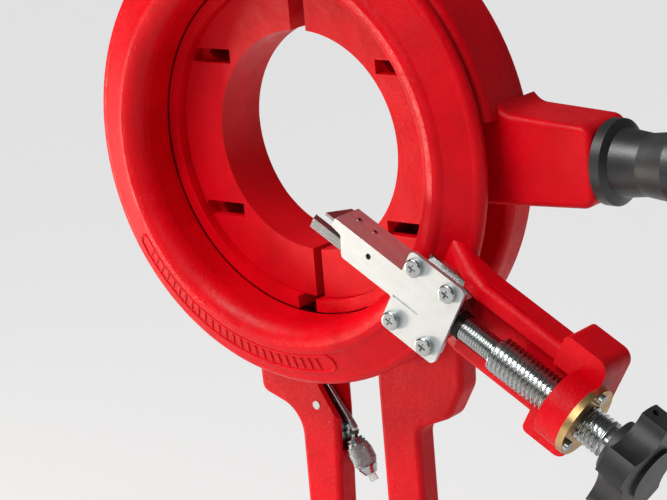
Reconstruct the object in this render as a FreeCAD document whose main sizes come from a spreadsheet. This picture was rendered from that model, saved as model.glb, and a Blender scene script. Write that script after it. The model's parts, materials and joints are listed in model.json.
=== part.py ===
"""Orbital cutter and chamferer for plastic pipe, as a parametric FreeCAD document.

Frame, in millimetres: the origin is on the pipe's axis at the front face of the clamping inserts,
+Y runs along the pipe from the cutting side (front) to the back, +Z is up along the split between
the two clamp levers, and +X is to the right as seen from the front. The cutting tool group is
drawn in a frame of its own, with the feed along +X, and turned about +Y by feed_angle.
"""
import FreeCAD, Part
import math
import os
import re

from FreeCAD import Placement, Rotation, Vector

SIZES = {
    # pipe and split clamping inserts
    "pipe_radius": 55.0,
    "insert_bore": 55.1,
    "insert_hub": 61.0,
    "insert_rim": 75.5,
    "insert_radius": 79.6,
    "insert_face": 5.0,
    "insert_length": 29.3,
    "insert_screw_circle": 71.0,
    "window_bottom": 36.0,
    "window_top": 43.0,
    # clamp levers
    "seat_radius": 79.8,
    "seat_outer": 86.0,
    "ledge_front": -5.0,
    "lever_front": 20.3,
    "lever_back": 35.0,
    "lever_ring": 104.0,
    "lip_front": 29.5,
    "lip_radius": 60.0,
    "split_half": 4.7,
    "hinge_height": 98.0,
    "hinge_radius": 6.0,
    "eye_radius": 15.0,
    "arm_inner": 14.4,
    "arm_outer": 38.2,
    "arm_waist": 16.0,
    "arm_length": 345.0,
    "grip_start": 236.0,
    "grip_wall": 2.6,
    "jaw_opening": 2.5,
    # guide drum and its rear cover
    "drum_radius": 119.0,
    "drum_front": 3.0,
    "drum_top_front": -12.5,
    "drum_back": 15.0,
    "drum_bore": 105.6,
    "drum_step": 9.6,
    "drum_pocket": 110.8,
    "cover_back": 20.0,
    "cover_bore": 91.6,
    "cover_screw_circle": 114.7,
    "drum_lip_end": 20.0,
    "side_arm_front": -3.0,
    "side_arm_back": 30.0,
    "side_arm_half": 22.0,
    "side_arm_end": 166.0,
    "side_grip_radius": 16.0,
    "side_bar_radius": 8.0,
    "side_bar_end": 284.0,
    # rotor
    "rotor_radius": 118.5,
    "rotor_back": -16.3,
    "rotor_throat": 86.6,
    "rotor_crest": 96.5,
    "rotor_crest_front": -29.5,
    "spigot_radius": 103.0,
    "spigot_bore": 93.2,
    "spigot_back": 10.0,
    "retainer_radius": 110.4,
    "retainer_back": 14.6,
    # feed arm on the rotor, in the tool frame
    "feed_angle": 30.0,
    "feed_arm_start": 103.0,
    "feed_arm_half": 20.0,
    "feed_arm_front": -36.0,
    "feed_arm_back": -20.0,
    "channel_half": 11.5,
    "channel_floor": -30.0,
    "undercut_half": 14.2,
    "undercut_front": -33.4,
    "head_start": 181.0,
    "head_end": 206.0,
    "head_half": 28.0,
    "head_front": -38.0,
    "head_back": -17.0,
    "nut_start": 193.0,
    "spindle_depth": -42.0,
    # carriage, blade holder and blades, in the tool frame
    "play": 0.3,
    "carriage_start": 102.0,
    "carriage_end": 131.0,
    "carriage_half": 19.0,
    "carriage_front": -49.0,
    "carriage_plate": 4.0,
    "holder_front": -51.0,
    "holder_half": 21.5,
    "holder_start": 100.5,
    "holder_end": 134.0,
    "holder_arm_low": -5.5,
    "holder_arm_high": 9.5,
    "holder_arm_start": 64.0,
    "holder_lip_start": 58.0,
    "holder_screw_near": 106.0,
    "holder_screw_far": 126.5,
    "holder_screw_half": 15.5,
    "sheet": 2.0,
    "flange_back": -33.0,
    "blade_low": -4.4,
    "blade_high": 0.6,
    "blade_tip": 43.8,
    "blade_front": -48.9,
    # feed spindle
    "thread_end_pin": 4.0,
    "thread_small": 5.9,
    "thread_large": 8.9,
    "thread_step": 155.5,
    "thread_end": 222.0,
    "knob_start": 226.0,
    "knob_radius": 27.0,
    # prop between the levers
    "prop_pin_radius": 2.25,
    "prop_rod_radius": 2.0,
    "prop_depth": 29.5,
}

doc = FreeCAD.newDocument("pipe_cutter")
sheet = doc.addObject("Spreadsheet::Sheet", "sizes")
for row, (alias, number) in enumerate(SIZES.items(), start=1):
    sheet.set("A%d" % row, alias)
    sheet.set("B%d" % row, str(number))
    sheet.setAlias("B%d" % row, alias)
doc.recompute()

FAR = 400.0                                   # longer than any cut has to be
NO_TURN = Rotation()
TURN = {"X": Rotation(Vector(0, 1, 0), 90), "Y": Rotation(Vector(1, 0, 0), -90), "Z": NO_TURN}
TOOL_TURN = Rotation(Vector(0, 1, 0), SIZES["feed_angle"])
nodes = []


# ---------------------------------------------------------------- drawing helpers

def cell(text):
    """Writes the sheet's name in front of each alias of an expression."""
    return re.sub("[a-z][a-z_]+", lambda found: "sizes." + found.group(), str(text))


def span(start, end):
    """Expression for the distance between two others."""
    return "(" + str(end) + ") - (" + str(start) + ")"


def value(text):
    """The number that a sum of cells has now, such as: lever_back - lever_front."""
    total = 0.0
    sign = 1.0
    for word in str(text).split():
        if word in "+-":
            sign = 1.0 if word == "+" else -1.0
        else:
            total += sign * (SIZES[word] if word in SIZES else float(word))
    return total


def place(item, start, turn):
    """Puts an object at a start point whose coordinates are expressions of cells."""
    item.Placement = Placement(Vector(0, 0, 0), turn)
    for axis, text in zip("xyz", start):
        item.setExpression("Placement.Base." + axis, cell(text))
    return item


def cylinder(name, radius, length, start, along="Y"):
    """A round bar that starts at a point and runs along an axis."""
    item = doc.addObject("Part::Cylinder", name)
    item.setExpression("Radius", cell(radius))
    item.setExpression("Height", cell(length))
    return place(item, start, TURN[along])


def cone(name, radius_start, radius_end, length, start, along="Y"):
    item = doc.addObject("Part::Cone", name)
    item.setExpression("Radius1", cell(radius_start))
    item.setExpression("Radius2", cell(radius_end))
    item.setExpression("Height", cell(length))
    return place(item, start, TURN[along])


def block(name, low, high):
    """A box between two corners, each given as three expressions."""
    item = doc.addObject("Part::Box", name)
    for prop, first, last in zip(("Length", "Width", "Height"), low, high):
        item.setExpression(prop, cell(span(first, last)))
    return place(item, low, NO_TURN)


def fuse(name, *items):
    item = doc.addObject("Part::MultiFuse", name)
    item.Shapes = list(items)
    return item


def cut(name, base, *tools):
    item = doc.addObject("Part::Cut", name)
    item.Base = base
    item.Tool = tools[0] if len(tools) == 1 else fuse(name + "_tools", *tools)
    return item


def tube(name, inner, outer, front, back):
    """A ring about the pipe's axis between two depths."""
    return tube_at(name, inner, outer, (0, front, 0), span(front, back))


def tube_at(name, inner, outer, start, length):
    """A ring along Y that starts at any point."""
    body = cylinder(name + "_outside", outer, length, start)
    hole = cylinder(name + "_inside", inner, FAR, (start[0], -FAR / 2, start[2]))
    return cut(name, body, hole)


def outline(corners):
    """Edges of a closed outline; a corner's third number rounds it."""
    points = [Vector(c[0], c[1], 0) for c in corners]
    radii = [c[2] if len(c) > 2 else 0.0 for c in corners]
    count = len(points)
    starts, ends, arcs = [], [], []
    for i in range(count):
        here = points[i]
        back = (points[i - 1] - here).normalize()
        ahead = (points[(i + 1) % count] - here).normalize()
        if radii[i] == 0.0:
            starts.append(here)
            ends.append(here)
            arcs.append(None)
            continue
        half = back.getAngle(ahead) / 2
        reach = radii[i] / math.tan(half)
        centre = here + (back + ahead).normalize() * (radii[i] / math.sin(half))
        middle = centre + (here - centre).normalize() * radii[i]
        starts.append(here + back * reach)
        ends.append(here + ahead * reach)
        arcs.append(Part.Arc(here + back * reach, middle, here + ahead * reach))
    edges = []
    for i in range(count):
        if arcs[i]:
            edges.append(arcs[i])
        edges.append(Part.LineSegment(ends[i], starts[(i + 1) % count]))
    return edges


def sketch_on(body, name, role, edges, offset=0.0):
    """A sketch on one of the body's own origin planes, moved along the plane's normal."""
    sketch = body.newObject("Sketcher::SketchObject", name)
    plane = [feature for feature in body.Origin.OriginFeatures if feature.Role == role][0]
    sketch.AttachmentSupport = [(plane, "")]
    sketch.MapMode = "FlatFace"
    sketch.AttachmentOffset = Placement(Vector(0, 0, offset), NO_TURN)
    for edge in edges:
        sketch.addGeometry(edge, False)
    return sketch


def pad_xz(name, corners, front, back):
    """A plate drawn in X and Z that fills the depth from front to back."""
    body = doc.addObject("PartDesign::Body", name)
    sketch = sketch_on(body, name + "_outline", "XZ_Plane", outline(corners), -value(front))
    pad = body.newObject("PartDesign::Pad", name + "_pad")
    pad.Profile = sketch
    pad.setExpression("Length", cell(span(front, back)))
    pad.Reversed = True
    return body


def pad_yz(name, corners, start, end):
    """A bar drawn in Y and Z that runs along X from start to end."""
    body = doc.addObject("PartDesign::Body", name)
    sketch = sketch_on(body, name + "_section", "YZ_Plane", outline(corners), value(start))
    pad = body.newObject("PartDesign::Pad", name + "_pad")
    pad.Profile = sketch
    pad.setExpression("Length", cell(span(start, end)))
    return body


def revolve(name, edges):
    """A full turn about the vertical axis of a sketch drawn in X and Y."""
    body = doc.addObject("PartDesign::Body", name)
    sketch = sketch_on(body, name + "_profile", "XY_Plane", edges)
    turned = body.newObject("PartDesign::Revolution", name + "_turn")
    turned.Profile = sketch
    turned.ReferenceAxis = (sketch, ["V_Axis"])
    turned.Angle = 360
    return body


def round_edges(name, base, radius, wanted):
    """Rounds the edges of a finished solid whose middle point passes the test."""
    doc.recompute()
    item = doc.addObject("Part::Fillet", name)
    item.Base = base
    chosen = []
    for number, edge in enumerate(base.Shape.Edges, start=1):
        box = edge.BoundBox
        if wanted(box.Center, box):
            chosen.append((number, radius, radius))
    item.Edges = chosen
    return item


def polar(radius, degrees):
    """X and Z of a point about the pipe's axis, measured from +X towards +Z."""
    angle = math.radians(degrees)
    return radius * math.cos(angle), radius * math.sin(angle)


def node(label, item):
    """Names a finished sub-part after its file."""
    item.Label = label
    nodes.append(item)
    return item


def tool_node(label, item):
    """A finished sub-part of the tool group, turned to the feed direction."""
    item.Placement = Placement(Vector(0, 0, 0), TOOL_TURN)
    return node(label, item)


def countersunk_screw(name, x, z, front, back, shank, head):
    """A flat-headed screw along Y with its head flush at the back."""
    shaft = cylinder(name + "_shank", shank, span(front, back), (x, front, z))
    top = cone(name + "_head", shank, head, head - shank, (x, back + " - %.2f" % (head - shank), z))
    return fuse(name, shaft, top)


# ---------------------------------------------------------------- guide drum (root)

def guide_drum():
    """Cast drum: the rotor turns in its bore, and one side arm holds the grip."""
    ring = tube("drum_ring", "drum_bore", "drum_radius", "drum_front", "drum_back")
    ring = round_edges("drum_ring_soft", ring, 4.0, front_rim("drum_radius", "drum_front"))
    upper = tube("drum_upper", "drum_bore", "drum_radius", "drum_top_front", "drum_back - 5")
    upper = round_edges("drum_upper_soft", upper, 4.5, front_rim("drum_radius", "drum_top_front"))
    below = block("drum_below", (-FAR, -FAR, -FAR), (FAR, FAR, "drum_lip_end"))
    upper = cut("drum_upper_lip", upper, below)
    half = value("side_arm_half")
    end = value("side_arm_end")
    arm_outline = [(104, -half), (end, -half + 3, 7), (end, half - 3, 7), (117.4, half + 0.3, 10),
                   (112.5, 36.5), (104, 36)]
    arm = pad_xz("side_arm", arm_outline, "side_arm_front", "side_arm_back")
    arm = round_edges("side_arm_soft", arm, 3.0, lambda c, b: c.x > 118 and b.YLength < 0.1)
    behind = cylinder("drum_cover_space", "drum_radius + 0.3", FAR, (0, "drum_back", 0))
    pocket = cylinder("drum_pocket_cut", "drum_pocket", FAR, (0, "drum_step", 0))
    bore = cylinder("drum_bore_cut", "drum_bore", FAR, (0, -FAR / 2, 0))
    depth = (value("side_arm_front") + value("side_arm_back")) / 2
    socket = cylinder("side_bar_socket", "side_bar_radius + 0.05", FAR, (140, depth, 0), "X")
    holes = [cylinder("drum_screw_hole", 2.05, 8, (x, "drum_back - 7", z)) for x, z in cover_screw_places()]
    body = fuse("drum_body", ring, upper, arm)
    return node("guide_drum", cut("drum", body, behind, pocket, bore, socket, *holes))


def front_rim(radius, front):
    """Test for the outer circular edge at a ring's front."""
    wide, depth = value(radius), value(front)
    return lambda c, b: abs(c.y - depth) < 0.1 and b.YLength < 0.1 and abs(b.XMax - wide) < 0.1


def cover_screw_places():
    return [polar(value("cover_screw_circle"), 22.5 + 45 * i) for i in range(8)]


def guide_bush():
    """Plastic sliding bush between the drum and the rotor's spigot."""
    return node("guide_bush", tube("bush", "spigot_radius + 0.06", "drum_bore - 0.05",
                                   "drum_front + 0.4", "drum_step - 0.1"))


def rear_cover():
    """Plate that closes the drum and carries the levers' hinge pin."""
    ring = tube("cover_ring", "cover_bore", "drum_radius - 0.4", "drum_back + 0.05", "cover_back")
    pin_hole = cylinder("cover_pin_hole", "hinge_radius", 20, (0, 5, "hinge_height"))
    holes = []
    for x, z in cover_screw_places():
        holes.append(cylinder("cover_screw_hole", 2.05, 20, (x, "drum_back - 2", z)))
        holes.append(cone("cover_screw_sink", 2.05, 3.85, 1.8, (x, "cover_back - 1.75", z)))
    for side in (1, -1):
        x, z = guide_screw_place(side)
        holes.append(cylinder("cover_guide_hole", 3.0, 20, (x, 5, z)))
    return node("rear_cover", cut("cover", ring, pin_hole, *holes))


def cover_screws():
    screws = []
    for x, z in cover_screw_places():
        screws.append(countersunk_screw("cover_screw", x, z, "drum_back - 6", "cover_back", 2.0, 3.75))
    return node("cover_screws", fuse("cover_screw_set", *screws))


def hinge_pin():
    """Pin of both levers, held in the cover, with a groove for its clip."""
    shaft = cylinder("hinge_shaft", "hinge_radius", 24.5, (0, "drum_back + 0.05", "hinge_height"))
    groove = tube_at("hinge_groove", 5.0, 8.0, (0, 37.3, "hinge_height"), 1.2)
    return node("hinge_pin", cut("hinge", shaft, groove))


def hinge_washer():
    return node("hinge_washer", tube_at("washer", 6.1, 11.5, (0, 35.15, "hinge_height"), 2.0))


def hinge_clip():
    """Snap ring in the pin's groove, open at the top."""
    ring = tube_at("clip_ring", 5.05, 8.2, (0, 37.35, "hinge_height"), 1.1)
    gap = block("clip_gap", (-1.6, 36, "hinge_height"), (1.6, 40, "hinge_height + 12"))
    return node("hinge_clip", cut("clip", ring, gap))


def guide_screw_place(side):
    return side * 55.0, -80.0


def lever_guide_screws():
    """Shoulder screws that keep each lever against the cover and stop its opening."""
    screws = []
    for side in (1, -1):
        x, z = guide_screw_place(side)
        thread = cylinder("guide_thread", 2.95, 5.0, (x, "drum_back + 0.1", z))
        shoulder = cylinder("guide_shoulder", 4.0, 15.2, (x, "cover_back + 0.05", z))
        head = cylinder("guide_head", 7.5, 4.0, (x, "lever_back + 0.2", z))
        socket = doc.addObject("Part::Prism", "guide_socket")
        socket.Polygon = 6
        socket.Circumradius = 2.9
        socket.Height = 3
        place(socket, (x, "lever_back + 1.9", z), TURN["Y"])
        screws.append(cut("guide_screw", fuse("guide_body", thread, shoulder, head), socket))
    return node("lever_guide_screws", fuse("guide_screw_set", *screws))


def side_handle_bar():
    depth = (value("side_arm_front") + value("side_arm_back")) / 2
    return node("side_handle_bar", cylinder("bar", "side_bar_radius", "side_bar_end - 141",
                                            (141, depth, 0), "X"))


def side_grip():
    """Moulded hand grip with two end flanges and shallow finger waists."""
    depth = (value("side_arm_front") + value("side_arm_back")) / 2
    start = value("side_arm_end") + 0.5
    end = value("side_bar_end") + 4
    bore = value("side_bar_radius") + 0.05
    full = value("side_grip_radius")
    count = 4
    pitch = (end - start - 14) / count
    points = [(bore, start), (full + 4, start), (full + 4, start + 5), (full, start + 7)]
    for i in range(count):
        middle = start + 7 + pitch * (i + 0.5)
        points.append((full - 1.6, middle))
        points.append((full, middle + pitch / 2))
    points += [(full - 1, end - 3), (full - 6, end), (0, end), (0, value("side_bar_end") + 0.1),
               (bore, value("side_bar_end") + 0.1)]
    grip = revolve("grip", outline(points))
    grip.Placement = Placement(Vector(0, depth, 0), Rotation(Vector(0, 0, 1), -90))
    return node("side_grip", grip)


# ---------------------------------------------------------------- rotor

def rotor_profile():
    """Radius and depth of the rotor's ring, from the throat round the crest to the spigot."""
    throat = value("rotor_throat")
    crest = value("rotor_crest")
    front = value("rotor_crest_front")
    rim = value("rotor_radius")
    back = value("rotor_back")
    spigot = value("spigot_radius")
    spigot_back = value("spigot_back")
    bore = value("spigot_bore")
    step = value("ledge_front") - 0.5
    a, b = Vector(throat, -20, 0), Vector(crest, front, 0)
    c, d = Vector(101.5, -27.2, 0), Vector(rim - 4.5, -21.8, 0)
    e, f = Vector(rim, -18.4, 0), Vector(rim, back, 0)
    g, h = Vector(spigot, back, 0), Vector(spigot, spigot_back, 0)
    i, j = Vector(bore, spigot_back, 0), Vector(bore, step, 0)
    k = Vector(throat, step, 0)
    edges = [Part.Arc(a, Vector(throat + 2.9, -26.2, 0), b), Part.Arc(b, Vector(99.2, -28.9, 0), c),
             Part.LineSegment(c, d), Part.Arc(d, Vector(rim - 1.2, -20.3, 0), e)]
    for first, last in ((e, f), (f, g), (g, h), (h, i), (i, j), (j, k), (k, a)):
        edges.append(Part.LineSegment(first, last))
    return edges


def feed_arm_section():
    """Depth and height of the feed arm: a channel with undercut sides."""
    half = value("feed_arm_half")
    front = value("feed_arm_front")
    back = value("feed_arm_back")
    floor = value("channel_floor")
    side = value("channel_half")
    deep = value("undercut_half")
    lip = value("undercut_front")
    return [(back, -half, 2), (front, -half, 4), (front, -side, 0.8), (lip, -side), (lip, -deep),
            (floor, -deep), (floor, deep), (lip, deep), (lip, side), (front, side, 0.8),
            (front, half, 4), (back, half, 2)]


def arm_root():
    """Saddle that blends the feed arm into the ring."""
    back = value("feed_arm_back")
    wide = value("feed_arm_half")
    body = doc.addObject("PartDesign::Body", "arm_root")
    stations = ((104.0, wide + 3.6, -24.3, 3.0), (112.0, wide + 2.6, -28.2, 6.0), (121.0, wide + 1.2, -32.8, 6.0),
                (134.0, wide, value("feed_arm_front"), 4.0))
    sketches = []
    for at, half, front, soft in stations:
        corners = [(back, -half, 2), (front, -half, soft), (front, half, soft), (back, half, 2)]
        sketches.append(sketch_on(body, "root_section", "YZ_Plane", outline(corners), at))
    loft = body.newObject("PartDesign::AdditiveLoft", "root_loft")
    loft.Profile = sketches[0]
    loft.Sections = sketches[1:]
    loft.Ruled = True
    return body


def rotor():
    """Cast rotor: guide ring, feed arm with its channel, and the head for the feed nut."""
    ring = revolve("rotor_ring", rotor_profile())
    arm = pad_yz("feed_arm", feed_arm_section(), 133, "head_start + 1")
    half = value("head_half")
    start, end = value("head_start"), value("head_end")
    head_corners = [(start, -half, 3), (end, -half, 6), (end, half, 6), (start, half, 3)]
    head = pad_xz("feed_head", head_corners, "head_front", "head_back")
    boss = cylinder("feed_boss", 17, span("nut_start", "head_end"), ("nut_start", "spindle_depth", 0), "X")
    side = value("channel_half")
    deep = value("undercut_half")
    lip = value("undercut_front")
    floor = value("channel_floor")
    groove = [(-60, -side), (lip, -side), (lip, -deep), (floor, -deep), (floor, deep), (lip, deep),
              (lip, side), (-60, side)]
    channel = pad_yz("feed_channel", groove, "feed_arm_start - 8", 134)
    bore = cylinder("feed_nut_bore", 12.05, FAR, (170, "spindle_depth", 0), "X")
    screws = [cylinder("nut_screw_hole", 1.55, 8, ("head_end - 5", y, z), "X") for y, z in nut_screw_places()]
    turned = fuse("feed_group", cut("arm_root_cut", arm_root(), channel), arm, head, boss)
    turned.Placement = Placement(Vector(0, 0, 0), TOOL_TURN)
    holes = fuse("feed_holes", bore, *screws)
    holes.Placement = Placement(Vector(0, 0, 0), TOOL_TURN)
    ends = []
    for x, z in retainer_screw_places():
        ends.append(cylinder("spigot_hole", 2.55, 20, (x, "spigot_back - 10", z)))
    return node("rotor", cut("rotor_cut", fuse("rotor_body", ring, turned), holes, *ends))


def retainer_screw_places():
    return [polar(98.1, 12 + 45 * i) for i in range(8)]


def rotor_retainer():
    """Flat ring that keeps the rotor between the drum's step and the cover."""
    ring = tube("retainer_ring", "spigot_bore", "retainer_radius", "spigot_back + 0.05", "retainer_back")
    holes = []
    for x, z in retainer_screw_places():
        holes.append(cylinder("retainer_hole", 2.55, 20, (x, "spigot_back - 2", z)))
        holes.append(cone("retainer_sink", 2.55, 4.65, 2.1, (x, "retainer_back - 2.05", z)))
    return node("rotor_retainer", cut("retainer", ring, *holes))


def retainer_screws():
    screws = []
    for x, z in retainer_screw_places():
        screws.append(countersunk_screw("retainer_screw", x, z, "spigot_back - 8", "retainer_back", 2.5, 4.6))
    return node("retainer_screws", fuse("retainer_screw_set", *screws))


def nut_screw_places():
    """Depth and height of the three screws in the feed nut's flange."""
    places = []
    for i in range(3):
        angle = math.radians(90 + 120 * i)
        places.append((value("spindle_depth") + 14.5 * math.cos(angle), 14.5 * math.sin(angle)))
    return places


def feed_nut():
    """Flanged bronze nut in the head of the feed arm."""
    sleeve = cylinder("nut_sleeve", 12, span("nut_start", "head_end"), ("nut_start", "spindle_depth", 0), "X")
    flange = cylinder("nut_flange", 17.4, 3.5, ("head_end + 0.05", "spindle_depth", 0), "X")
    bore = cylinder("nut_bore", "thread_large + 0.08", FAR, (150, "spindle_depth", 0), "X")
    holes = [cylinder("nut_hole", 1.6, 12, ("head_end", y, z), "X") for y, z in nut_screw_places()]
    return tool_node("feed_nut", cut("nut", fuse("nut_body", sleeve, flange), bore, *holes))


def feed_nut_screws():
    screws = []
    for y, z in nut_screw_places():
        shank = cylinder("nut_screw_shank", 1.5, 8.5, ("head_end - 4.8", y, z), "X")
        head = cylinder("nut_screw_head", 2.7, 2.4, ("head_end + 3.6", y, z), "X")
        screws.append(fuse("nut_screw", shank, head))
    return tool_node("feed_nut_screws", fuse("nut_screw_set", *screws))


# ---------------------------------------------------------------- carriage and blades

def carriage():
    """Slide block: a thin plate for the holder on a neck whose tongue runs in the undercut channel."""
    play = value("play")
    front = value("carriage_front") + value("carriage_plate") - 0.5
    neck = value("channel_half") - play
    deep = value("undercut_half") - play
    under = value("undercut_front") + play
    floor = value("channel_floor") - play
    section = [(front, -neck), (front, neck), (under, neck), (under, deep), (floor, deep), (floor, -deep),
               (under, -deep), (under, -neck)]
    body = pad_yz("carriage_neck", section, "carriage_start", "carriage_end")
    wide = value("carriage_half")
    start, end = value("carriage_start"), value("holder_end") - 1.2
    corners = [(start, -wide, 2), (end, -wide, 3), (end, wide, 3), (start, wide, 2)]
    plate = pad_xz("carriage_plate", corners, "carriage_front", "carriage_front + carriage_plate")
    bore = cylinder("carriage_bore", "thread_small + 0.08", FAR, (117, "spindle_depth", 0), "X")
    pocket = cylinder("carriage_pocket", 7.0, 8, (110, "spindle_depth", 0), "X")
    mouth = block("carriage_mouth", (110, "carriage_front - 1", -7), (118, "spindle_depth", 7))
    holes = []
    for x, z in holder_screw_places():
        holes.append(cylinder("carriage_screw_hole", 2.55, 10, (x, "carriage_front - 1", z)))
    return tool_node("carriage", cut("carriage_cut", fuse("carriage_body", body, plate), bore, pocket, mouth, *holes))


def holder_screw_places():
    places = []
    for along in ("holder_screw_near", "holder_screw_far"):
        for side in (1, -1):
            places.append((value(along), side * value("holder_screw_half")))
    return places


def blade_holder():
    """Folded sheet holder: screwed plate, narrow arm and one flange that backs the chamfer knife."""
    half = value("holder_half")
    low, high = value("holder_arm_low"), value("holder_arm_high")
    start, end = value("holder_start"), value("holder_end")
    arm, lip = value("holder_arm_start"), value("holder_lip_start")
    corners = [(lip, high, 0.8), (lip, high - 4.7, 0.8), (arm, high - 5.6, 1), (arm + 5, low, 1.5),
               (start, low, 1.2), (start, -half, 3), (end, -half, 3), (end, half, 3), (start, half, 3),
               (start, high, 0.6)]
    plate = pad_xz("holder_plate", corners, "holder_front", "carriage_front")
    flange = block("holder_flange", ("holder_lip_start", "carriage_front", "holder_arm_high - sheet"),
                   ("holder_start - 1.5", "flange_back", "holder_arm_high"))
    holes = [cylinder("holder_hole", 2.6, 10, (x, "holder_front - 1", z)) for x, z in holder_screw_places()]
    for x in (64.4, 74.4):
        holes.append(cylinder("rivet_hole", 1.5, 20, (x, -39.7, 0), "Z"))
    holes.append(cylinder("blade_screw_hole", 1.5, 5, (81.8, "holder_front - 1", 4.0)))
    crease = block("holder_crease", (101.5, "holder_front - 1", -4.9), (116.5, "holder_front + 0.45", -3.9))
    return tool_node("blade_holder", cut("holder", fuse("holder_body", plate, flange), crease, *holes))


def holder_screws():
    """Four pan-head screws with cross recesses."""
    screws = []
    for x, z in holder_screw_places():
        shank = cylinder("pan_shank", 2.45, "sheet + carriage_plate", (x, "holder_front", z))
        head = cylinder("pan_head", 4.5, 2.9, (x, "holder_front - 2.9", z))
        head = round_edges("pan_soft", head, 1.1, lambda c, b: c.y < value("holder_front") - 2)
        tools = [block("cross_a", (x - 2.1, "holder_front - 4", z - 0.45), (x + 2.1, "holder_front - 1.5", z + 0.45)),
                 block("cross_b", (x - 0.45, "holder_front - 4", z - 2.1), (x + 0.45, "holder_front - 1.5", z + 2.1))]
        screws.append(cut("pan_screw", fuse("pan_body", shank, head), *tools))
    return tool_node("holder_screws", fuse("pan_screw_set", *screws))


def tool_block():
    """Steel block inside the holder, grooved for the blade and the chamfer knife."""
    body = block("tool_body", (66.5, "carriage_front + 0.05", -5.4), (99, -33.2, 7.45))
    blade = block("tool_blade_groove", (60, -52, "blade_low - 0.05"), (FAR, -39.9, "blade_high + 0.05"))
    knife = block("tool_knife_groove", (60, -52, 5.9), (91, -30, 9))
    rivet = cylinder("tool_rivet_hole", 1.6, 30, (74.4, -39.7, 0), "Z")
    screw = cylinder("tool_screw_hole", 1.45, 8, (81.8, -50, 4.0))
    return tool_node("tool_block", cut("tool", body, blade, knife, screw, rivet))


def cutting_blade():
    """Parting blade: narrow nose in front of the cut face and a deeper shank in the block."""
    nose = block("blade_nose", ("blade_tip", "blade_front", "blade_low"), (57, -45.1, "blade_high"))
    shank = block("blade_shank", (56.5, "blade_front", "blade_low"), (96, -40.0, "blade_high"))
    bevel = doc.addObject("Part::Wedge", "blade_bevel")
    bevel.Xmin, bevel.Xmax = 0, 3
    bevel.X2min, bevel.X2max = 0, 0
    bevel.Ymin, bevel.Ymax = 0, 8
    bevel.Zmin, bevel.Zmax = 0, 6
    bevel.Z2min, bevel.Z2max = 0, 6
    place(bevel, ("blade_tip - 0.1", "blade_front - 1", "blade_low - 0.5"), NO_TURN)
    return tool_node("cutting_blade", cut("blade", fuse("blade_body", nose, shank), bevel))


def chamfer_knife():
    """Flat knife beside the flange; its slanted end follows the chamfer."""
    body = doc.addObject("PartDesign::Body", "knife")
    corners = [(51.4, -48.9), (90.5, -48.9), (90.5, -33.4), (55.0, -33.4)]
    sketch = sketch_on(body, "knife_outline", "XY_Plane", outline(corners), 5.95)
    pad = body.newObject("PartDesign::Pad", "knife_pad")
    pad.Profile = sketch
    pad.Length = 1.5
    holes = [cylinder("knife_rivet_hole", 1.5, 20, (x, -39.7, 0), "Z") for x in (64.4, 74.4)]
    return tool_node("chamfer_knife", cut("knife_cut", body, *holes))


def knife_rivets():
    """Two hollow rivets through the flange and the knife."""
    rivets = []
    for x in (64.4, 74.4):
        body = cylinder("rivet_body", 1.45, 4.3, (x, -39.7, 5.4), "Z")
        hole = cylinder("rivet_bore", 0.8, 20, (x, -39.7, 7.5), "Z")
        rivets.append(cut("rivet", body, hole))
    return tool_node("knife_rivets", fuse("rivet_set", *rivets))


def blade_screw():
    """Small set screw that holds the tool block in the holder."""
    body = cylinder("set_screw_body", 1.4, 6, (81.8, "holder_front + 0.5", 4.0))
    slot = block("set_screw_slot", (80, "holder_front", 3.7), (84, "holder_front + 1.2", 4.3))
    return tool_node("blade_screw", cut("set_screw", body, slot))


# ---------------------------------------------------------------- feed spindle

def feed_spindle():
    """Stepped screw: the thin end turns in the carriage, the thick thread runs in the feed nut."""
    depth = "spindle_depth"
    end_pin = cylinder("spindle_end_pin", "thread_end_pin", 8, (110.5, depth, 0), "X")
    thin = cylinder("spindle_thin", "thread_small", "thread_step - 118", (118, depth, 0), "X")
    nose = cone("spindle_nose", "thread_small + 0.6", "thread_large", 1.6, ("thread_step - 0.1", depth, 0), "X")
    thick = cylinder("spindle_thick", "thread_large", "thread_end - thread_step - 1.4",
                     ("thread_step + 1.4", depth, 0), "X")
    shaft = cylinder("spindle_shaft", 7, "knob_start - thread_end + 21", ("thread_end - 1", depth, 0), "X")
    pin_hole = cylinder("spindle_pin_hole", 2.0, FAR, (236, depth, -FAR / 2), "Z")
    return tool_node("feed_spindle", cut("spindle", fuse("spindle_body", end_pin, thin, nose, thick, shaft), pin_hole))


def end_collar():
    """Collar inside the carriage that pulls it back with the spindle."""
    ring = cylinder("collar_ring", 6.7, 6.4, (111, "spindle_depth", 0), "X")
    bore = cylinder("collar_bore", "thread_end_pin + 0.01", FAR, (100, "spindle_depth", 0), "X")
    return tool_node("end_collar", cut("collar", ring, bore))


def lock_nut():
    """Round black nut on the thin thread, against the end of the carriage's plate."""
    disc = cylinder("lock_nut_disc", 6.6, 3.8, ("holder_end - 0.9", "spindle_depth", 0), "X")
    bore = cylinder("lock_nut_bore", "thread_small + 0.01", FAR, (120, "spindle_depth", 0), "X")
    return tool_node("lock_nut", cut("lock_nut_cut", disc, bore))


def feed_knob():
    """Star knob with five lobes on the outer end of the spindle."""
    depth = value("spindle_depth")
    disc = cylinder("knob_disc", "knob_radius", 14, ("knob_start + 6", depth, 0), "X")
    hub = cylinder("knob_hub", 13, 22, ("knob_start", depth, 0), "X")
    bore = cylinder("knob_bore", 7.05, "knob_start + 20 - 200", (200, depth, 0), "X")
    pin_hole = cylinder("knob_pin_hole", 2.0, FAR, (236, depth, -FAR / 2), "Z")
    scallops = []
    for i in range(5):
        angle = math.radians(90 + 72 * i + 36)
        y = depth + 34 * math.cos(angle)
        z = 34 * math.sin(angle)
        scallops.append(cylinder("knob_scallop", 14, FAR, (200, y, z), "X"))
    body = fuse("knob_body", cut("knob_lobes", disc, *scallops), hub)
    return tool_node("feed_knob", cut("knob", body, bore, pin_hole))


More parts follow.
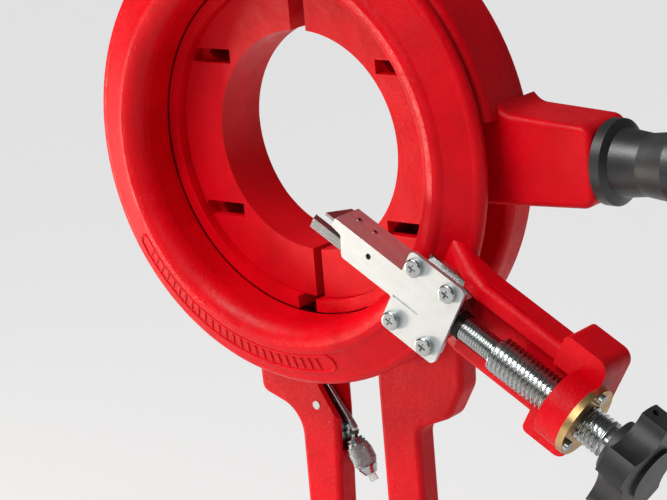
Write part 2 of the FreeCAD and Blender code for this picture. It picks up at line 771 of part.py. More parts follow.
def knob_pin():
    """Dowel with chamfered ends through the knob's hub and the spindle."""
    body = cylinder("pin_body", 1.95, 24.4, (236, "spindle_depth", -12.2), "Z")
    low = cone("pin_low", 1.5, 1.95, 0.6, (236, "spindle_depth", -12.7), "Z")
    high = cone("pin_high", 1.95, 1.5, 0.6, (236, "spindle_depth", 12.1), "Z")
    return tool_node("knob_pin", fuse("pin", body, low, high))


# ---------------------------------------------------------------- clamp levers and inserts

def side_cut(name, side, upper, lower):
    """Two boxes that remove everything on the far side of the split, above and below the axis."""
    boxes = []
    for part, edge, low, high in (("up", upper, 0, FAR), ("down", lower, -FAR, 0)):
        start, end = (-FAR, edge) if side > 0 else (-edge, FAR)
        boxes.append(block(name + "_" + part, (start, -FAR, low), (end, FAR, high)))
    return boxes


def insert_screw_places(side):
    return [polar(value("insert_screw_circle"), angle if side > 0 else 180 - angle) for angle in (58, 8, -58)]


def insert(label, side):
    """Half insert: hub that grips the pipe, front plate with two windows, ribs and screw bosses."""
    ring = tube(label + "_ring", "insert_bore", "insert_radius", "0", "insert_length")
    hollow = tube(label + "_hollow", "insert_hub", "insert_rim", "insert_face", "insert_length + 1")
    solid = []
    for x, z in insert_screw_places(side):
        solid.append(cylinder(label + "_boss", 5.6, FAR, (x, 0, z)))
    for angle in (30, 0, -30):
        turn = Rotation(Vector(0, 1, 0), angle if side > 0 else 180 - angle)
        rib = doc.addObject("Part::Box", label + "_rib")
        rib.Length, rib.Width, rib.Height = FAR, FAR, 4
        rib.Placement = Placement(turn.multVec(Vector(0, 0, -2)), turn)
        solid.append(rib)
    wall = block(label + "_wall", (-9, 0, -FAR), (9, FAR, FAR))
    hollow = cut(label + "_space", hollow, wall, *solid)
    tools = side_cut(label + "_split", side, 4.7, 2.6)
    for low, high in (("window_bottom", "window_top"), (-43, -36)):
        start, end = (45.5, 69.5) if side > 0 else (-69.5, -45.5)
        tools.append(block(label + "_window", (start, -5, low), (end, "insert_face + 1", high)))
    for x, z in insert_screw_places(side):
        tools.append(cylinder(label + "_screw_hole", 2.55, 14, (x, "insert_length - 13", z)))
    return node(label, cut(label + "_cut", ring, hollow, *tools))


def insert_screws(label, side):
    """Screws from the back of a lever into its insert."""
    screws = []
    for x, z in insert_screw_places(side):
        shank = cylinder(label + "_shank", 2.5, 15, (x, "lever_back - 15", z))
        head = cylinder(label + "_head", 4.4, 3.2, (x, "lever_back + 0.02", z))
        socket = cylinder(label + "_socket", 2.2, 5, (x, "lever_back + 1.2", z))
        screws.append(cut(label + "_screw", fuse(label + "_body", shank, head), socket))
    return node(label, fuse(label + "_set", *screws))


def arm_low(side):
    """Name of the size that gives the inner edge of a lever's arm near its grip."""
    return "arm_inner" if side > 0 else "arm_waist"


def arm_corners(side):
    """Outline of a lever's shoulder and arm; the two sides differ."""
    inner, outer, low = value("arm_inner"), value("arm_outer"), value(arm_low(side))
    end = value("arm_length")
    if side > 0:
        corners = [(60, -83), (inner, -96)]
    else:
        corners = [(60, -83), (inner - 1, -96), (inner - 1, -150, 20), (low, -205, 20)]
    corners += [(low, -end, 5), (outer, -end, 8)]
    if side > 0:
        corners += [(outer, -150, 8), (46, -147.5, 4), (58, -142.5, 10), (67.4, -126, 12), (68.4, -104)]
    else:
        corners += [(outer, -152.9, 18), (63.3, -144, 6), (64.5, -108)]
    return [(side * corner[0],) + corner[1:] for corner in corners]


def lever(label, side):
    """Clamp lever: half ring with the insert's seat, hinge eye, shoulder and handle arm."""
    seat = tube(label + "_seat", "seat_radius", "seat_outer", "ledge_front", "lever_front + 1")
    seat = cut(label + "_seat_half", seat, *side_cut(label + "_seat_split", side, 4.7, 0.6 if side > 0 else 10.6))
    disc = tube(label + "_disc", "lip_radius", "lever_ring", "lever_front", "lever_back")
    disc = cut(label + "_disc_half", disc, *side_cut(label + "_disc_split", side, 4.7, 4.7))
    arm = pad_xz(label + "_arm", arm_corners(side), "lever_front", "lever_back")
    arm = round_edges(label + "_arm_soft", arm, 3.0, lambda c, b: b.YLength < 0.1 and c.z < -105)
    middle = (value("lever_front") + value("lever_back")) / 2
    eye_start, eye_end = (middle + 0.1, "lever_back") if side > 0 else ("lever_front", middle - 0.1)
    eye = cylinder(label + "_eye", "eye_radius", span(eye_start, eye_end), (0, eye_start, "hinge_height"))
    body = fuse(label + "_body", seat, disc, arm, eye)
    space_start = middle - 30 if side > 0 else middle
    tools = [cylinder(label + "_eye_space", "eye_radius + 0.4", 30, (0, space_start, "hinge_height"))]
    tools.append(cylinder(label + "_pin_hole", "hinge_radius + 0.06", FAR, (0, -FAR / 2, "hinge_height")))
    tools.append(cylinder(label + "_seat_bore", "seat_radius", "lip_front + 50", (0, -50, 0)))
    tools += guide_slot(label, side)
    for x, z in insert_screw_places(side):
        tools.append(cylinder(label + "_screw_hole", 2.7, FAR, (x, 20, z)))
    if side < 0:
        tools += prop_spaces()
    return node(label, cut(label + "_cut", body, *tools))


def guide_slot(label, side):
    """Slot for the shoulder screw, as long as the lever's swing."""
    x, z = guide_screw_place(side)
    swing = math.radians(value("jaw_opening")) + 0.004
    arm = math.hypot(x, value("hinge_height") - z)
    length = arm * swing
    inward = Vector(-(value("hinge_height") - z) * side, 0, -abs(x)).normalize()
    items = []
    for i in range(3):
        centre = Vector(x, 0, z) + inward * (length * i / 2)
        items.append(cylinder(label + "_slot_round", 4.3, 40, (centre.x, 18, centre.z)))
    bar = doc.addObject("Part::Box", label + "_slot_bar")
    bar.Length = length
    bar.Width = 40
    bar.Height = 8.6
    turn = Rotation(Vector(1, 0, 0), inward)
    corner = Vector(x, 18, z) - turn.multVec(Vector(0, 0, 4.3))
    bar.Placement = Placement(corner, turn)
    items.append(bar)
    return items


def handle_grip(label, side):
    """Dipped plastic sleeve over the end of a lever's arm."""
    wall = value("grip_wall")
    inner, outer = value(arm_low(side)) - wall, value("arm_outer") + wall
    start, end = value("grip_start"), value("arm_length") + wall
    corners = [(inner, -start, 3), (inner, -end, 7), (outer, -end, 10), (outer, -start, 3)]
    corners = [(side * corner[0],) + corner[1:] for corner in corners]
    sleeve = pad_xz(label + "_sleeve", corners, "lever_front - grip_wall", "lever_back + grip_wall")
    sleeve = round_edges(label + "_soft", sleeve, 2.2, lambda c, b: b.YLength < 0.1)
    play = 0.05
    low = value(arm_low(side)) - play
    high = value("arm_outer") + play
    start_x, end_x = (low, high) if side > 0 else (-high, -low)
    space = block(label + "_space", (start_x, "lever_front - 0.05", "0 - arm_length - 0.05"),
                  (end_x, "lever_back + 0.05", "0 - grip_start + 20"))
    return node(label, cut(label + "_cut", sleeve, space))


# ---------------------------------------------------------------- prop between the levers

PROP_PIN = Vector(-26.5, 0, -147.2)
PROP_TOP = Vector(-24.9, 29.5, -138.5)
PROP_BEND = Vector(-10.2, 29.5, -159.8)
PROP_COLLAR = Vector(-10.35, 29.5, -161.2)
SLEEVE_TOP = Vector(-10.9, 29.5, -166.4)
SLEEVE_AXIS = Vector(0.485, 0, -0.875).normalize()


def prop_spaces():
    """Slot in the left lever for the prop rod, the slanted cut in its front cheek and the pin's hole."""
    slot = block("prop_slot", (-33.5, 24, -172), (-5, 32.4, -126))
    cheek = pad_xz("prop_cheek", [(-24.5, -126), (-24.5, -136.5, 4), (-12.0, -156.5), (-5, -156.5), (-5, -126)],
                   "lever_front - 3", "lever_back - 6")
    hole = cylinder("prop_pin_hole", "prop_pin_radius", 60, (PROP_PIN.x, 0, PROP_PIN.z))
    return [slot, cheek, hole]


def prop_pin():
    return node("prop_pin", cylinder("prop_pin_body", "prop_pin_radius", 15.1,
                                     (PROP_PIN.x, "lever_front - 0.3", PROP_PIN.z)))


def bar_between(name, radius, first, last):
    """A round bar from one point to another."""
    item = doc.addObject("Part::Cylinder", name)
    item.setExpression("Radius", cell(radius))
    item.Height = (last - first).Length
    item.Placement = Placement(first, Rotation(Vector(0, 0, 1), last - first))
    return item


def ball(name, radius, centre):
    item = doc.addObject("Part::Sphere", name)
    item.setExpression("Radius", cell(radius))
    item.Placement = Placement(centre, NO_TURN)
    return item


def rod_stop():
    """Small block in the lever's slot that the prop rod leans on when it is at rest."""
    corners = [(-18.6, -153), (-17.9, -153), (-14, -158.8), (-14, -166, 1), (-15.6, -167.9, 0.5), (-18.6, -164)]
    return node("rod_stop", pad_xz("stop_block", corners, 24, 32.4))


def prop_rod():
    """Bent rod: an eye on the pin, a slanted leg and the thread that carries the sleeve."""
    eye = cylinder("prop_eye", 5.0, 4.8, (PROP_PIN.x, "prop_depth - 2.4", PROP_PIN.z))
    radius = "prop_rod_radius"
    leg = bar_between("prop_leg", radius, PROP_TOP, PROP_BEND)
    link = bar_between("prop_link", radius, PROP_BEND, SLEEVE_TOP)
    end = bar_between("prop_end", radius, SLEEVE_TOP, SLEEVE_TOP + SLEEVE_AXIS * 19.5)
    rounds = [ball("prop_round", radius, point) for point in (PROP_TOP, PROP_BEND, SLEEVE_TOP)]
    hole = cylinder("prop_eye_hole", "prop_pin_radius + 0.05", 60, (PROP_PIN.x, 0, PROP_PIN.z))
    return node("prop_rod", cut("prop", fuse("prop_body", eye, leg, link, end, *rounds), hole))


def rod_collar():
    """Dark ring on the rod above its sleeve."""
    end = PROP_COLLAR + (SLEEVE_TOP - PROP_COLLAR).normalize() * 1.8
    ring = bar_between("collar_outside", 2.5, PROP_COLLAR, end)
    return node("rod_collar", cut("rod_collar_cut", ring, bar_between("collar_inside", 2.01, PROP_BEND, SLEEVE_TOP)))


def prop_sleeve():
    """Barrel-shaped adjusting sleeve on the rod's thread."""
    points = [(3.4, -0.3), (4.5, -0.3), (4.5, 1.0), (4.2, 1.2), (5.2, 1.5), (5.3, 2.7), (5.6, 3.2), (6.5, 7.0),
              (6.5, 12.7), (5.2, 15.4), (5.3, 16.0), (4.9, 16.8), (3.3, 20.0), (2.06, 20.0), (2.06, 1.4), (3.4, 1.4)]
    body = revolve("sleeve", outline(points))
    turn = Rotation(Vector(0, 0, 1), SLEEVE_AXIS).multiply(Rotation(Vector(1, 0, 0), 90))
    body.Placement = Placement(SLEEVE_TOP, turn)
    return node("prop_sleeve", body)


def prop_tip():
    """Clear plastic foot on the end of the rod."""
    first = SLEEVE_TOP + SLEEVE_AXIS * 20.4
    neck = bar_between("tip_neck", 1.7, SLEEVE_TOP + SLEEVE_AXIS * 19.55, first)
    foot = bar_between("tip_foot", 2.1, first, SLEEVE_TOP + SLEEVE_AXIS * 24)
    return node("prop_tip", fuse("tip", neck, foot))


# ---------------------------------------------------------------- build, check and write

def build():
    guide_drum()
    guide_bush()
    rear_cover()
    cover_screws()
    hinge_pin()
    hinge_washer()
    hinge_clip()
    lever_guide_screws()
    side_handle_bar()
    side_grip()
    rotor()
    rotor_retainer()
    retainer_screws()
    feed_nut()
    feed_nut_screws()
    carriage()
    blade_holder()
    holder_screws()
    tool_block()
    cutting_blade()
    chamfer_knife()
    knife_rivets()
    blade_screw()
    feed_spindle()
    end_collar()
    lock_nut()
    feed_knob()
    knob_pin()
    for name, side in (("right", 1), ("left", -1)):
        lever(name + "_lever", side)
        insert(name + "_insert", side)
        insert_screws(name + "_insert_screws", side)
        handle_grip(name + "_handle_grip", side)
    prop_pin()
    rod_stop()
    prop_rod()
    rod_collar()
    prop_sleeve()
    prop_tip()


def check_and_write():
    """Stops on any failed object, then writes one STEP file per sub-part."""
    doc.recompute()
    for item in doc.Objects:
        if "Invalid" in item.State or "Error" in item.State:
            raise RuntimeError("failed object: " + item.Name + " " + str(item.State))
    os.makedirs("parts", exist_ok=True)
    for item in nodes:
        shape = item.Shape
        if shape.isNull() or not shape.isValid():
            raise RuntimeError("bad shape: " + item.Label)
        shape.exportStep("parts/" + item.Label + ".step")
        print(item.Label, len(shape.Solids), round(shape.Volume))


build()
check_and_write()
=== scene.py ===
import bpy
import json
import math

from mathutils import Matrix, Vector


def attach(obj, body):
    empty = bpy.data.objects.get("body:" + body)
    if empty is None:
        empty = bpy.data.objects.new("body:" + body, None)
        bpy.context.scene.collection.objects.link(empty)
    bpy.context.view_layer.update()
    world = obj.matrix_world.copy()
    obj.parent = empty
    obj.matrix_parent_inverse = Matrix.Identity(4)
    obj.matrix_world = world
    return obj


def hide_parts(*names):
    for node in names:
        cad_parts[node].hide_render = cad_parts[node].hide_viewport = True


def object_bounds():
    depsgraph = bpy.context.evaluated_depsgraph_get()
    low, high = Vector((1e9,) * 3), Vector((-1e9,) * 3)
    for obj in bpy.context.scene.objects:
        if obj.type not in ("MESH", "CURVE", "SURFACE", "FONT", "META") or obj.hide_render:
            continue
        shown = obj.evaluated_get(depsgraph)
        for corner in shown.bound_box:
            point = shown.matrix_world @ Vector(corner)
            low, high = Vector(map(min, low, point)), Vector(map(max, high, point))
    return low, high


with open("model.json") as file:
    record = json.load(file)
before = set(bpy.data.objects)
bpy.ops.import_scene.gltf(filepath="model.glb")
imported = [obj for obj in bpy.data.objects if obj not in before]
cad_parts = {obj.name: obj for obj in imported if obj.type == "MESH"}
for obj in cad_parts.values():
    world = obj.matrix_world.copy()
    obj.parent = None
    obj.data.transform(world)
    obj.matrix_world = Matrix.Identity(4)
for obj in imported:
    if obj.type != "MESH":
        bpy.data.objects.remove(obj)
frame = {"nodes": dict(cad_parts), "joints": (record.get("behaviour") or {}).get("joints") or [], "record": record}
cad_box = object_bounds()
nodes = frame["nodes"]

FEED_ANGLE = math.radians(30)                 # the feed arm points 30 degrees below +X
FEED = Vector((math.cos(FEED_ANGLE), 0.0, -math.sin(FEED_ANGLE)))
MM = 0.001
SHARP_ANGLE = math.radians(32)                # edges that bend more than this are shaded sharp


# ---------------------------------------------------------------- measuring the frame

def along(node, direction):
    """Lowest and highest reach of a CAD node along a direction."""
    reach = [vertex.co.dot(direction) for vertex in nodes[node].data.vertices]
    return min(reach), max(reach)


# ---------------------------------------------------------------- material building blocks

def start_material(name, colour, metallic, roughness):
    """A new node material with its shader, and the place on the object in metres."""
    material = bpy.data.materials.new(name)
    material.use_nodes = True
    tree = material.node_tree
    shader = tree.nodes["Principled BSDF"]
    shader.inputs["Base Color"].default_value = (*colour, 1.0)
    shader.inputs["Metallic"].default_value = metallic
    shader.inputs["Roughness"].default_value = roughness
    place = tree.nodes.new("ShaderNodeTexCoord").outputs["Object"]
    return material, tree, shader, place


def stretched(tree, place, turn, scale):
    """The place turned about +Y and then scaled, for streaks that run one way."""
    rotate = tree.nodes.new("ShaderNodeMapping")
    rotate.inputs["Rotation"].default_value = (0.0, -turn, 0.0)
    resize = tree.nodes.new("ShaderNodeMapping")
    resize.inputs["Scale"].default_value = scale
    tree.links.new(place, rotate.inputs["Vector"])
    tree.links.new(rotate.outputs["Vector"], resize.inputs["Vector"])
    return resize.outputs["Vector"]


def noise(tree, place, scale, detail=4.0, roughness=0.5):
    """Cloudy pattern; scale is in features per metre."""
    texture = tree.nodes.new("ShaderNodeTexNoise")
    texture.inputs["Scale"].default_value = scale
    texture.inputs["Detail"].default_value = detail
    texture.inputs["Roughness"].default_value = roughness
    tree.links.new(place, texture.inputs["Vector"])
    return texture.outputs["Fac"]


def spread(tree, factor, low, high, start=0.3, end=0.7):
    """A pattern's values between start and end, spread from low to high."""
    node = tree.nodes.new("ShaderNodeMapRange")
    node.inputs["From Min"].default_value = start
    node.inputs["From Max"].default_value = end
    node.inputs["To Min"].default_value = low
    node.inputs["To Max"].default_value = high
    tree.links.new(factor, node.inputs["Value"])
    return node.outputs["Result"]


def two_colours(tree, factor, first, second):
    """One colour where the pattern is 0 and the other where it is 1."""
    mix = tree.nodes.new("ShaderNodeMix")
    mix.data_type = "RGBA"
    mix.inputs["A"].default_value = (*first, 1.0)
    mix.inputs["B"].default_value = (*second, 1.0)
    tree.links.new(factor, mix.inputs["Factor"])
    return mix.outputs["Result"]


def bump(tree, shader, *layers):
    """Relief from several patterns, each with its depth in metres."""
    normal = None
    for height, depth in layers:
        node = tree.nodes.new("ShaderNodeBump")
        node.inputs["Strength"].default_value = 1.0
        node.inputs["Distance"].default_value = depth
        tree.links.new(height, node.inputs["Height"])
        if normal:
            tree.links.new(normal, node.inputs["Normal"])
        normal = node.outputs["Normal"]
    tree.links.new(normal, shader.inputs["Normal"])


# ---------------------------------------------------------------- materials

def cast_enamel(name, colour, deep, roughness, grain):
    """Enamel over a sand-cast skin: soft waves, grain, pits and slightly uneven gloss."""
    material, tree, shader, place = start_material(name, colour, 0.0, roughness)
    waves = noise(tree, place, 55.0, 2.0)
    skin = noise(tree, place, 330.0, 6.0, 0.6)
    pits = spread(tree, noise(tree, place, 900.0, 2.0), 0.0, 1.0, 0.28, 0.4)
    shade = spread(tree, waves, 0.0, 1.0)
    tree.links.new(two_colours(tree, shade, colour, deep), shader.inputs["Base Color"])
    gloss = spread(tree, noise(tree, place, 150.0, 6.0), roughness - 0.06, roughness + 0.1)
    tree.links.new(gloss, shader.inputs["Roughness"])
    shader.inputs["Specular IOR Level"].default_value = 0.14
    bump(tree, shader, (waves, 0.0006), (skin, grain), (pits, grain * 0.3))
    return material


def metal(name, colour, roughness, streak_turn, streak_scale, depth, tarnish):
    """Metal with fine streaks that run one way and a thin uneven film."""
    material, tree, shader, place = start_material(name, colour, 1.0, roughness)
    streaks = noise(tree, stretched(tree, place, streak_turn, streak_scale), 1.0, 3.0, 0.6)
    film = noise(tree, place, 160.0, 5.0, 0.6)
    tone = two_colours(tree, spread(tree, film, 0.0, 1.0), colour, tarnish)
    tree.links.new(tone, shader.inputs["Base Color"])
    tree.links.new(spread(tree, streaks, roughness - 0.08, roughness + 0.12), shader.inputs["Roughness"])
    bump(tree, shader, (streaks, depth), (film, depth))
    return material


def moulded(name, colour, worn, roughness, texture_scale, depth):
    """Moulded plastic or rubber with a fine eroded texture, rubbed paler here and there."""
    material, tree, shader, place = start_material(name, colour, 0.0, roughness)
    texture = noise(tree, place, texture_scale, 3.0, 0.7)
    rubbed = spread(tree, noise(tree, place, 45.0, 6.0), 0.0, 1.0, 0.5, 0.75)
    tree.links.new(two_colours(tree, rubbed, colour, worn), shader.inputs["Base Color"])
    tree.links.new(spread(tree, texture, roughness - 0.08, roughness + 0.1), shader.inputs["Roughness"])
    bump(tree, shader, (texture, depth))
    return material


def clear_plastic():
    """Slightly milky clear plastic."""
    material, tree, shader, place = start_material("clear_plastic", (0.86, 0.88, 0.86), 0.0, 0.12)
    shader.inputs["Transmission Weight"].default_value = 0.75
    shader.inputs["IOR"].default_value = 1.47
    cloud = noise(tree, place, 500.0, 3.0)
    tree.links.new(spread(tree, cloud, 0.08, 0.22), shader.inputs["Roughness"])
    bump(tree, shader, (cloud, 0.00003))
    return material


def all_materials():
    """One material for each slot of the record."""
    lengthwise = (60.0, 900.0, 1500.0)
    any_way = (300, 300, 300)
    return {
        "red_casting": cast_enamel("red_casting", (0.66, 0.0, 0.007), (0.56, 0.0, 0.005), 0.36, 0.00026),
        "red_insert": cast_enamel("red_insert", (0.64, 0.0, 0.007), (0.54, 0.0, 0.005), 0.42, 0.00016),
        "black_steel": metal("black_steel", (0.03, 0.03, 0.033), 0.42, 0.0, any_way, 0.00003,
                             (0.05, 0.045, 0.04)),
        "zinc_steel": metal("zinc_steel", (0.5, 0.52, 0.52), 0.2, FEED_ANGLE, lengthwise, 0.000003,
                            (0.4, 0.42, 0.41)),
        "turned_steel": metal("turned_steel", (0.6, 0.6, 0.61), 0.3, 0.0, (900, 120, 900), 0.00002,
                              (0.46, 0.45, 0.43)),
        "holder_sheet": metal("holder_sheet", (0.58, 0.61, 0.62), 0.5, FEED_ANGLE, (40, 1500, 1800), 0.000006,
                              (0.54, 0.565, 0.57)),
        "tool_steel": metal("tool_steel", (0.34, 0.34, 0.35), 0.3, FEED_ANGLE, (80, 2500, 2500), 0.00002,
                            (0.24, 0.235, 0.23)),
        "chrome_wire": metal("chrome_wire", (0.46, 0.48, 0.48), 0.2, 0.0, (200, 200, 200), 0.000002,
                             (0.36, 0.38, 0.38)),
        "bronze": metal("bronze", (0.72, 0.47, 0.2), 0.3, FEED_ANGLE, (900, 150, 150), 0.00002,
                        (0.5, 0.32, 0.14)),
        "black_grip": moulded("black_grip", (0.022, 0.022, 0.024), (0.05, 0.05, 0.05), 0.45, 900.0, 0.00012),
        "black_plastic": moulded("black_plastic", (0.02, 0.02, 0.021), (0.045, 0.045, 0.045), 0.36, 1500.0,
                                 0.00006),
        "clear_plastic": clear_plastic(),
    }


def paint_nodes(materials):
    """Each CAD node takes the material of its slot in the record."""
    for part in frame["record"]["subparts"]:
        mesh_object = nodes[part["node"]]
        for slot in mesh_object.material_slots:
            slot.material = materials[part["material_slot"]]


# ---------------------------------------------------------------- mesh building blocks

def new_piece(name, points, faces, material, body, smooth=True):
    """A mesh object in the row frame that moves with a body."""
    mesh = bpy.data.meshes.new(name)
    mesh.from_pydata(points, [], faces)
    mesh.update()
    piece = bpy.data.objects.new(name, mesh)
    bpy.context.scene.collection.objects.link(piece)
    mesh.materials.append(material)
    for polygon in mesh.polygons:
        polygon.use_smooth = smooth
    mesh.set_sharp_from_angle(angle=SHARP_ANGLE)
    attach(piece, body)
    return piece


def axis_turn(start, direction):
    """Turns and moves a shape drawn along +X to start at a point and run along a direction."""
    turn = Vector((1, 0, 0)).rotation_difference(direction).to_matrix().to_4x4()
    return Matrix.Translation(start) @ turn


def turned_shape(stations, radius_at, segments):
    """Rings along +X at the stations, closed at both ends; radius_at(x, angle) shapes them."""
    points = []
    for x in stations:
        for i in range(segments):
            angle = 2 * math.pi * i / segments
            radius = radius_at(x, angle)
            points.append(Vector((x, radius * math.cos(angle), radius * math.sin(angle))))
    faces = []
    for ring in range(len(stations) - 1):
        for i in range(segments):
            here = ring * segments + i
            ahead = ring * segments + (i + 1) % segments
            faces.append((here, here + segments, ahead + segments, ahead))
    last = (len(stations) - 1) * segments
    faces.append(tuple(range(segments)))
    faces.append(tuple(last + i for i in reversed(range(segments))))
    return points, faces


# ---------------------------------------------------------------- feed spindle with its threads

SPINDLE_DEPTH = -42 * MM
THICK_PITCH = 2.5 * MM
THIN_PITCH = 1.5 * MM


def thread_height(x, angle, pitch):
    """0 at the root and 1 at the crest of a right-hand thread with flats at both."""
    phase = (x / pitch - angle / (2 * math.pi)) % 1.0
    slope = abs(phase - 0.5) * 2.0
    return min(1.0, max(0.0, (slope - 0.14) / 0.7))


def feed_spindle(material):
    """Stepped screw with cut threads in place of the plain CAD shaft."""
    inner, outer = along("feed_spindle", FEED)
    end_pin, thin, thick, shaft = 4.0 * MM, 5.9 * MM, 8.9 * MM, 7.0 * MM
    thin_depth, thick_depth = 0.9 * MM, 1.45 * MM
    edge = 0.01 * MM
    pin_end = inner + 7.5 * MM
    step = inner + 45.0 * MM
    thick_end = step + 66.5 * MM
    thread_start = inner + 26.5 * MM

    def radius_at(x, angle):
        if x < pin_end:
            return end_pin
        if x < thread_start:
            return thin - 0.3 * MM
        if x < step:
            return thin - thin_depth * (1.0 - thread_height(x, angle, THIN_PITCH))
        if x < thick_end:
            lead = min(1.0, (x - step) / (1.5 * MM))
            full = thin + (thick - thin) * lead
            run_out = min(1.0, (thick_end - x) / (2.0 * MM))
            return full - thick_depth * (1.0 - thread_height(x, angle, THICK_PITCH)) * lead * run_out
        return shaft

    stations = [inner, pin_end - edge, pin_end, thread_start]
    x = thread_start
    while x < step - 0.1 * MM:
        x += THIN_PITCH / 10
        stations.append(min(x, step - 0.02 * MM))
    x = step
    while x < thick_end:
        stations.append(x)
        x += THICK_PITCH / 12
    stations += [thick_end - edge, thick_end + edge, outer - 0.8 * MM, outer]
    points, faces = turned_shape(stations, radius_at, 72)
    place = axis_turn(Vector((0, SPINDLE_DEPTH, 0)), FEED)
    placed = [place @ point for point in points]
    piece = new_piece("feed_spindle_threaded", placed, faces, material, "spindle")
    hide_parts("feed_spindle")


# ---------------------------------------------------------------- knurled sleeve on the prop

def sleeve_frame():
    """Axis of the prop's sleeve: a point and a direction, from the joint it turns on."""
    joint = [j for j in frame["joints"] if j["name"] == "sleeve_turn"][0]
    return Vector(joint["pos_m"]), Vector(joint["axis"]).normalized()


def profile_radius(knots, x):
    """Radius on straight runs between (station, radius) knots."""
    for (x0, r0), (x1, r1) in zip(knots, knots[1:]):
        if x <= x1:
            return r0 + (r1 - r0) * (x - x0) / max(x1 - x0, 1e-9)
    return knots[-1][1]


def knurled_sleeve(material):
    """Barrel sleeve with two rings at the top and a diamond knurl round its middle."""
    start, direction = sleeve_frame()
    upper_ring = [(-0.3, 3.4), (-0.28, 4.3), (0.0, 4.5), (0.8, 4.5), (1.0, 4.1)]
    lower_ring = [(1.3, 4.1), (1.5, 5.1), (1.7, 5.3), (2.5, 5.3), (2.7, 5.0)]
    barrel = [(3.2, 5.1), (3.4, 5.6), (7.0, 6.5), (12.7, 6.5), (15.2, 5.3)]
    nose = [(15.4, 4.9), (15.7, 4.9), (15.9, 5.3), (16.3, 5.2), (16.9, 4.8), (19.6, 3.5), (20.0, 3.1)]
    knots = [(x * MM, radius * MM) for x, radius in upper_ring + lower_ring + barrel + nose]
    rows, depth = 32, 0.55 * MM
    first_row, last_row = 3.5 * MM, 15.1 * MM

    def radius_at(x, angle):
        radius = profile_radius(knots, x)
        if first_row < x < last_row:
            twist = x / (0.62 * MM) * math.pi
            first = abs(math.sin(rows / 2 * angle + twist / 2))
            second = abs(math.sin(rows / 2 * angle - twist / 2))
            radius -= depth * (1.0 - min(first, second) ** 0.6)
        return radius

    steps = 110
    knurl = {first_row + (last_row - first_row) * i / steps for i in range(steps)}
    stations = sorted({x for x, _ in knots} | knurl)
    points, faces = turned_shape(stations, radius_at, 240)
    place = axis_turn(start, direction)
    placed = [place @ point for point in points]
    piece = new_piece("knurled_sleeve", placed, faces, material, "prop_sleeve")
    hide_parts("prop_sleeve")


# ---------------------------------------------------------------- relief on the rotor's sloping face

def on_slope(radius, degrees):
    """A point on the rotor's sloping front face."""
    inner, outer = (101.5 * MM, -27.2 * MM), (114.0 * MM, -21.8 * MM)
    share = (radius - inner[0]) / (outer[0] - inner[0])
    depth = inner[1] + (outer[1] - inner[1]) * share
    angle = math.radians(degrees)
    return Vector((radius * math.cos(angle), depth, radius * math.sin(angle)))


def bead(name, path, radius, material, body, closed, segments=8):
    """A half-sunk round bead along a path."""
    points, faces = [], []
    count = len(path)
    for i, here in enumerate(path):
        ahead = path[(i + 1) % count] if closed or i + 1 < count else here
        behind = path[i - 1] if closed or i > 0 else here
        direction = (ahead - behind).normalized()
        side = direction.cross(Vector((0, 1, 0))).normalized()
        up = side.cross(direction).normalized()
        for k in range(segments):
            angle = 2 * math.pi * k / segments
            points.append(here + side * radius * math.cos(angle) + up * radius * math.sin(angle))
    rings = count if closed else count - 1
    for i in range(rings):
        for k in range(segments):
            a = i * segments + k
            b = i * segments + (k + 1) % segments
            c = ((i + 1) % count) * segments + (k + 1) % segments
            d = ((i + 1) % count) * segments + k
            faces.append((a, b, c, d))
    if not closed:
        faces.append(tuple(reversed(range(segments))))
        faces.append(tuple((count - 1) * segments + k for k in range(segments)))
    return new_piece(name, points, faces, material, body)


def rotor_relief(material):
    """A raised round-ended frame with plain ribs inside it."""
    first, last = -149.0, -78.5
    inner, outer = 101.6 * MM, 110.6 * MM
    middle, half = (inner + outer) / 2, (outer - inner) / 2
    path = [on_slope(outer, first + (last - first) * i / 60) for i in range(61)]
    swing = math.degrees(half / middle)
    bends = [math.pi * i / 12 for i in range(1, 12)]
    path += [on_slope(middle + half * math.cos(a), last + swing * math.sin(a)) for a in bends]
    path += [on_slope(inner, last - (last - first) * i / 60) for i in range(61)]
    path += [on_slope(middle - half * math.cos(a), first - swing * math.sin(a)) for a in bends]
    bead("rotor_frame_bead", path, 0.75 * MM, material, "rotor", True)
    ribs = 25
    for i in range(ribs):
        degrees = first + 3 + (last - first - 6) * i / (ribs - 1)
        rib = [on_slope(middle - 2.9 * MM + 5.8 * MM * k / 4, degrees) for k in range(5)]
        bead("rotor_frame_rib_%02d" % i, rib, 0.7 * MM, material, "rotor", False)


# ---------------------------------------------------------------- scene

def floor():
    """Plain pale floor under the lever handles."""
    low = cad_box[0][2] - 0.06
    size = 6.0
    points = [(-size, -size, low), (size, -size, low), (size, size, low), (-size, size, low)]
    mesh = bpy.data.meshes.new("floor")
    mesh.from_pydata(points, [], [(0, 1, 2, 3)])
    plane = bpy.data.objects.new("floor", mesh)
    bpy.context.scene.collection.objects.link(plane)
    material, tree, shader, place = start_material("floor_paper", (0.9, 0.9, 0.9), 0.0, 0.8)
    grain = noise(tree, place, 300.0, 2.0)
    paper = two_colours(tree, grain, (0.95, 0.95, 0.95), (0.93, 0.93, 0.935))
    tree.links.new(paper, shader.inputs["Base Color"])
    mesh.materials.append(material)


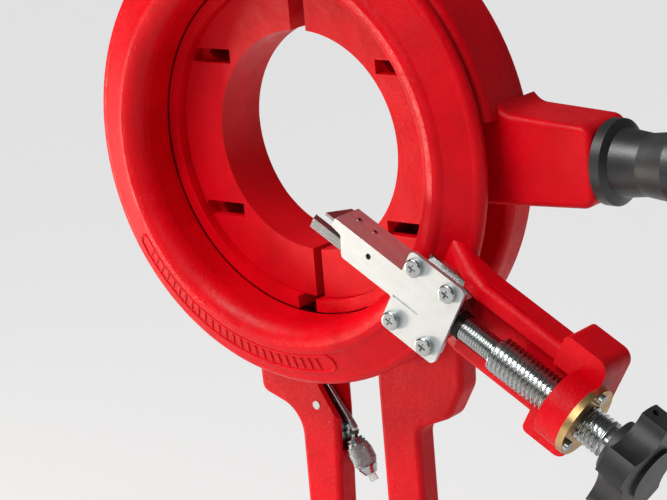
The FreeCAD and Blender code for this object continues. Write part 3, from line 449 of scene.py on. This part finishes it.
def area_light(name, place, target, size, power, colour=(1.0, 1.0, 1.0)):
    """A soft square light that faces a target."""
    light = bpy.data.lights.new(name, "AREA")
    light.shape = "SQUARE"
    light.size = size
    light.energy = power
    light.color = colour
    lamp = bpy.data.objects.new(name, light)
    lamp.location = place
    lamp.rotation_euler = (Vector(target) - Vector(place)).to_track_quat("-Z", "Y").to_euler()
    bpy.context.scene.collection.objects.link(lamp)


def sky_light(name, direction, power, softness):
    """Even light from far away, as wide across as the softness in degrees."""
    light = bpy.data.lights.new(name, "SUN")
    light.energy = power
    light.angle = math.radians(softness)
    lamp = bpy.data.objects.new(name, light)
    lamp.rotation_euler = Vector(direction).to_track_quat("Z", "Y").to_euler()
    bpy.context.scene.collection.objects.link(lamp)


def lights():
    """Soft light from above, a warm key from the lower left and a weak fill from the front."""
    world = bpy.data.worlds.new("studio")
    world.use_nodes = True
    world.node_tree.nodes["Background"].inputs["Color"].default_value = (0.93, 0.94, 0.95, 1.0)
    world.node_tree.nodes["Background"].inputs["Strength"].default_value = 0.13
    bpy.context.scene.world = world
    bpy.context.scene.view_settings.view_transform = "Standard"
    sky_light("ceiling", (-0.35, -0.75, 1.0), 2.9, 30.0)
    centre = (0.0, 0.0, -0.02)
    area_light("key", (-1.0, -0.55, -0.25), centre, 0.24, 8.0, (1.0, 0.86, 0.72))
    area_light("fill", (0.25, -1.3, 0.5), centre, 0.4, 2.0)


def camera():
    """Looks past the pipe's axis from the front right, slightly above and a little tilted."""
    right = Vector((0.7825, 0.6172, -0.0823))
    up = Vector((-0.1010, 0.2563, 0.9613))
    ahead = right.cross(up)
    lens = bpy.data.cameras.new("camera")
    lens.lens = 132.46
    lens.sensor_width = 36.0
    lens.clip_start = 0.05
    view = bpy.data.objects.new("camera", lens)
    columns = Matrix((right, up, ahead)).transposed()
    view.matrix_world = Matrix.Translation((0.7527, -0.8987, 0.2632)) @ columns.to_4x4()
    bpy.context.scene.collection.objects.link(view)
    bpy.context.scene.camera = view


materials = all_materials()
paint_nodes(materials)
feed_spindle(materials["zinc_steel"])
knurled_sleeve(materials["chrome_wire"])
rotor_relief(materials["red_casting"])
floor()
lights()
camera()
